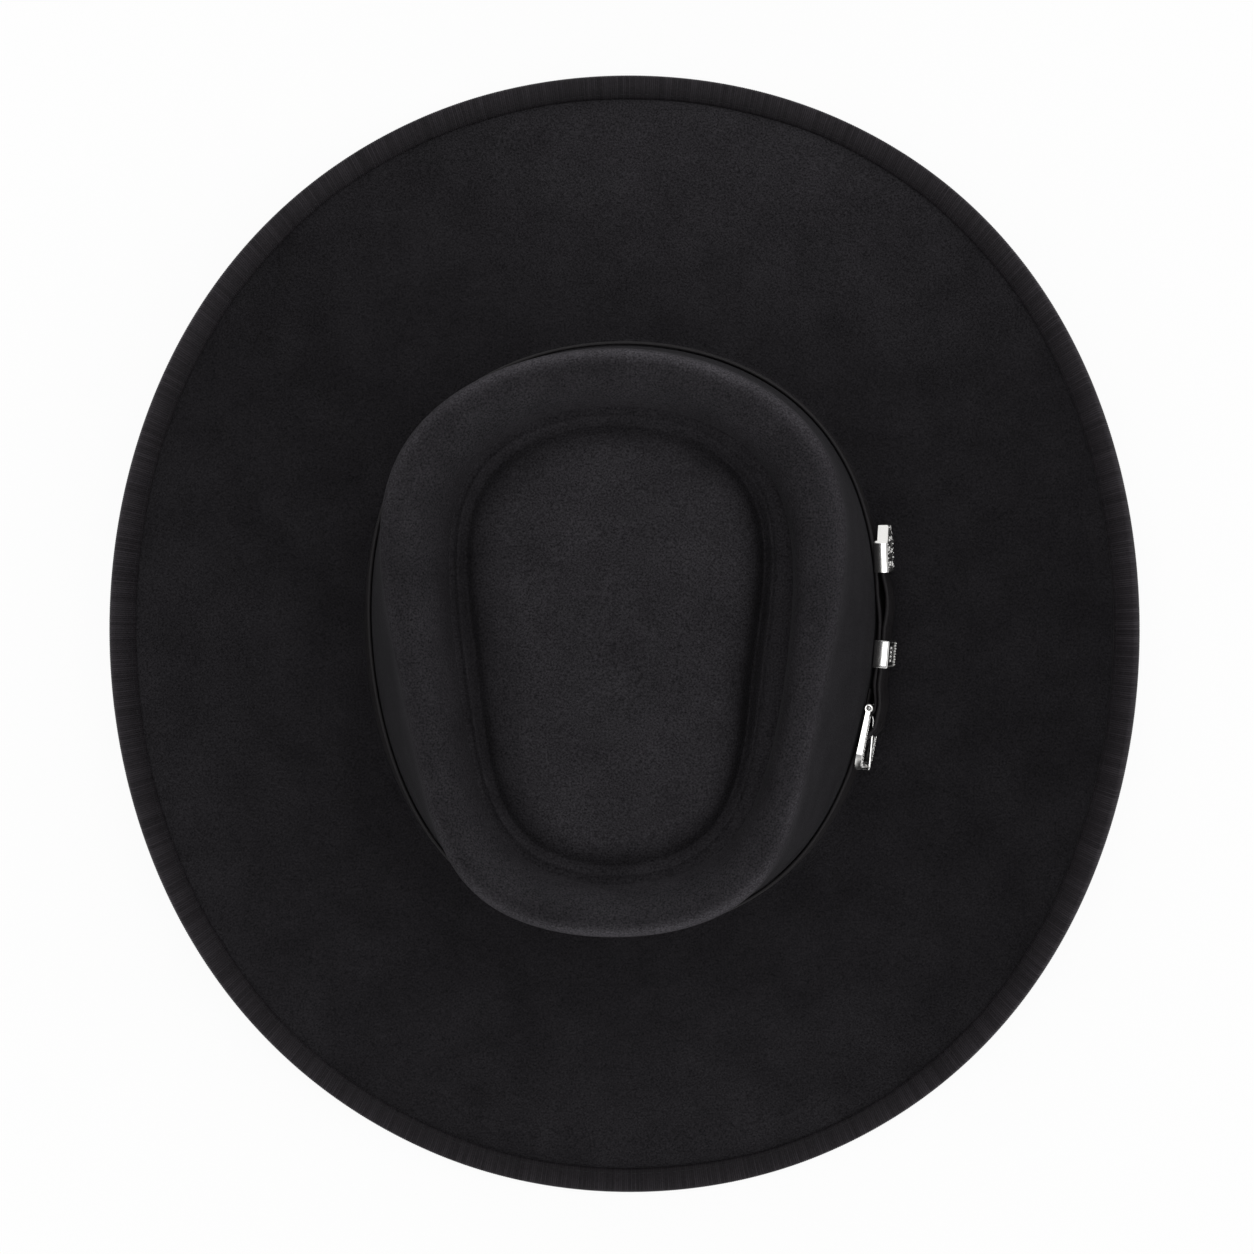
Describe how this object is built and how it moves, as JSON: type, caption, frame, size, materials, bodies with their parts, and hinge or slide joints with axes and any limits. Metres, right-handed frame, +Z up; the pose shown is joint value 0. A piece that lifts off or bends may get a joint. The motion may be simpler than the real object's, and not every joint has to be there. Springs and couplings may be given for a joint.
{
  "type": "western felt hat",
  "caption": "Wide-brimmed felt hat with a telescope crown, a ribbon-bound brim, a lined head opening and a leather band closed by a metal buckle, keeper and tip.",
  "frame": {"origin": "under the middle of the hat, on the plane that its brim stands on", "axes": "+Z up, +Y toward the back of the hat, +X toward the wearer's left, where the buckle is"},
  "size_m": [0.3612, 0.4018, 0.1212],
  "materials": {
    "felt": "matt wool felt with a short nap",
    "ribbon": "ribbed grosgrain",
    "sweatband_leather": "smooth satin leather",
    "reed_plastic": "drawn rod",
    "tape": "plain woven tape",
    "bow_ribbon": "satin ribbon",
    "satin": "satin weave",
    "band_leather": "fine grain, burnished edges",
    "silver": "polished plate with blackened engraving",
    "steel": "nickel plated rod"
  },
  "bodies": {
    "hat": {"felt_body": "felt", "brim_binding": "ribbon", "sweatband": "sweatband_leather", "sweatband_reed": "reed_plastic", "reed_tape": "tape", "sweatband_bow": "bow_ribbon", "lining_side": "satin", "lining_tip": "satin", "hat_band": "band_leather", "buckle_frame": "silver", "buckle_bar": "steel", "strap_tip": "silver"},
    "tongue": {"buckle_tongue": "silver"},
    "keeper": {"keeper": "silver"}
  },
  "joints": [
    {"name": "tongue_swing", "type": "hinge", "parent": "hat", "child": "tongue", "pos_m": [0.08851, -0.0252, 0.02911], "axis": [-0.1905, 0.051, 0.9804], "range_deg": [0, 10]},
    {"name": "keeper_slide", "type": "hinge", "parent": "hat", "child": "keeper", "pos_m": [-0.07336, 0.00786, 0.0287], "axis": [0, 0, 1], "range_deg": [-1.5, 1.5]}
  ]
}
